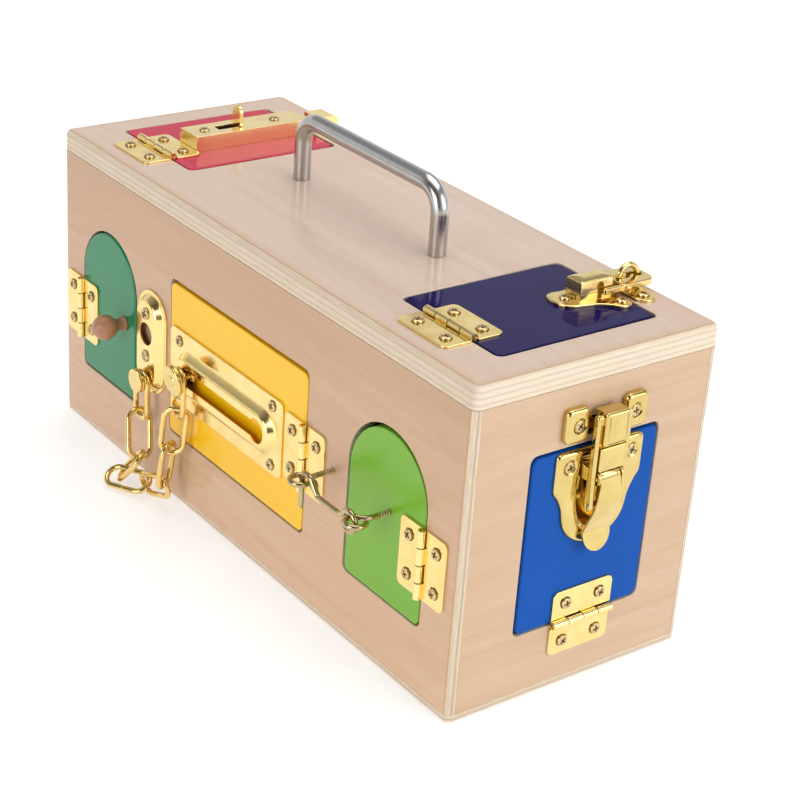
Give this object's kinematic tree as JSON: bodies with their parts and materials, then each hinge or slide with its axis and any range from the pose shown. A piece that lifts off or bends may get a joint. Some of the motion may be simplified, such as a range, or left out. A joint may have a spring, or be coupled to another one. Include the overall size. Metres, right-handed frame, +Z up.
{
  "type": "toy lock box",
  "caption": "Wooden lock box toy: plywood case with painted hinged doors, each with its own fastening, and a bar handle on top.",
  "frame": {"origin": "centre of the underside of the case", "axes": "+X along the length towards the end with the blue door, -Y the long front with the arched doors, +Z up"},
  "size_m": [0.3985, 0.1792, 0.219],
  "materials": {
    "plywood": "satin lacquer",
    "turned_wood": "satin lacquer",
    "dark_green_paint": "gloss paint",
    "yellow_paint": "gloss paint",
    "light_green_paint": "gloss paint",
    "blue_paint": "gloss paint",
    "red_paint": "gloss paint",
    "purple_paint": "gloss paint",
    "brass_plate": "polished",
    "screw_brass": "satin",
    "wire_brass": "satin",
    "satin_steel": "satin",
    "steel": "plain",
    "black_plastic": "matte"
  },
  "bodies": {
    "case": {"top_panel": "plywood", "front_panel": "plywood", "back_panel": "plywood", "left_end_panel": "plywood", "right_end_panel": "plywood", "bottom_panel": "plywood", "door_stops": "plywood", "handle": "satin_steel", "handle_screws": "steel", "case_screws": "screw_brass", "hinge_pins": "brass_plate", "dark_green_frame_leaf": "brass_plate", "yellow_frame_leaf": "brass_plate", "light_green_frame_leaf": "brass_plate", "red_frame_leaf": "brass_plate", "purple_frame_leaf": "brass_plate", "blue_frame_leaf": "brass_plate", "magnetic_catch": "black_plastic", "chain_keeper_plate": "brass_plate", "chain_anchor_stud": "brass_plate", "frame_eye": "wire_brass", "latch_keeper": "brass_plate", "bolt_keeper": "brass_plate", "staple": "brass_plate"},
    "dark_green": {"dark_green_door": "dark_green_paint", "dark_green_door_leaf": "brass_plate", "dark_green_door_screws": "screw_brass", "wooden_knob": "turned_wood", "strike_plate": "steel"},
    "yellow": {"yellow_door": "yellow_paint", "yellow_door_leaf": "brass_plate", "yellow_door_screws": "screw_brass", "track_plate": "brass_plate"},
    "light_green": {"light_green_door": "light_green_paint", "light_green_door_leaf": "brass_plate", "light_green_door_screws": "screw_brass", "door_eye": "wire_brass"},
    "hook_body": {"hook": "wire_brass"},
    "blue": {"blue_door": "blue_paint", "blue_door_leaf": "brass_plate", "blue_door_screws": "screw_brass", "latch_base": "brass_plate", "latch_lever_pin": "brass_plate"},
    "lever": {"latch_lever": "brass_plate", "latch_claw_pin": "brass_plate"},
    "claw": {"latch_claw": "brass_plate"},
    "red": {"red_door": "red_paint", "red_door_leaf": "brass_plate", "red_door_screws": "screw_brass", "bolt_housing": "brass_plate"},
    "bolt": {"slide_bolt": "brass_plate"},
    "purple": {"purple_door": "purple_paint", "purple_door_leaf": "brass_plate", "purple_door_screws": "screw_brass", "hasp_base": "brass_plate"},
    "hasp": {"hasp_plate": "brass_plate"},
    "chain_a": {"chain_links_fixed_side": "brass_plate"},
    "chain_b": {"chain_links_bottom": "brass_plate"},
    "chain_c": {"chain_links_slider_side": "brass_plate", "chain_slider": "brass_plate"}
  },
  "joints": [
    {"name": "dark_green_hinge", "type": "hinge", "parent": "case", "child": "dark_green", "pos_m": [-0.16985, -0.0772, 0.076], "axis": [0, 0, -1], "range_deg": [0, 120]},
    {"name": "yellow_hinge", "type": "hinge", "parent": "case", "child": "yellow", "pos_m": [0.065, -0.0772, 0.085], "axis": [0, 0, 1], "range_deg": [0, 100]},
    {"name": "light_green_hinge", "type": "hinge", "parent": "case", "child": "light_green", "pos_m": [0.1661, -0.0772, 0.0756], "axis": [0, 0, 1], "range_deg": [0, 110]},
    {"name": "hook_swing", "type": "hinge", "parent": "light_green", "child": "hook_body", "pos_m": [0.1325, -0.095, 0.0892], "axis": [0, 1, 0], "range_deg": [0, 100]},
    {"name": "blue_hinge", "type": "hinge", "parent": "case", "child": "blue", "pos_m": [0.1957, 0.0035, 0.0372], "axis": [0, 1, 0], "range_deg": [0, 90]},
    {"name": "latch_lever_pivot", "type": "hinge", "parent": "blue", "child": "lever", "pos_m": [0.201, 0.0035, 0.1185], "axis": [0, -1, 0], "range_deg": [0, 60]},
    {"name": "latch_claw_pivot", "type": "hinge", "parent": "lever", "child": "claw", "pos_m": [0.2005, 0.0035, 0.1045], "axis": [0, -1, 0], "range_deg": [-45.6, 0]},
    {"name": "red_hinge", "type": "hinge", "parent": "case", "child": "red", "pos_m": [-0.138, -0.0456, 0.1812], "axis": [1, 0, 0], "range_deg": [0, 110]},
    {"name": "bolt_slide", "type": "slide", "parent": "red", "child": "bolt", "axis": [0, -1, 0], "range_m": [0, 0.012]},
    {"name": "purple_hinge", "type": "hinge", "parent": "case", "child": "purple", "pos_m": [0.1353, -0.0456, 0.1812], "axis": [1, 0, 0], "range_deg": [0, 110]},
    {"name": "hasp_swing", "type": "hinge", "parent": "purple", "child": "hasp", "pos_m": [0.1397, 0.042, 0.1848], "axis": [1, 0, 0], "range_deg": [0, 95]},
    {"name": "chain_swing", "type": "hinge", "parent": "case", "child": "chain_a", "pos_m": [-0.0884, -0.0822, 0.0646], "axis": [0, -1, 0], "range_deg": [0, 37]},
    {"name": "chain_bottom_follow", "type": "hinge", "parent": "chain_a", "child": "chain_b", "pos_m": [-0.0925, -0.095, 0.007], "axis": [0, -1, 0], "range_deg": [-28.2, 0]},
    {"name": "chain_slider_follow", "type": "hinge", "parent": "chain_b", "child": "chain_c", "pos_m": [-0.052, -0.088, 0.0152], "axis": [0, -1, 0], "range_deg": [-44.5, 0]}
  ],
  "couplings": [
    {"joint": "latch_claw_pivot", "follows": "latch_lever_pivot", "ratio": -0.76},
    {"joint": "chain_bottom_follow", "follows": "chain_swing", "ratio": -0.76},
    {"joint": "chain_slider_follow", "follows": "chain_swing", "ratio": -1.2}
  ]
}
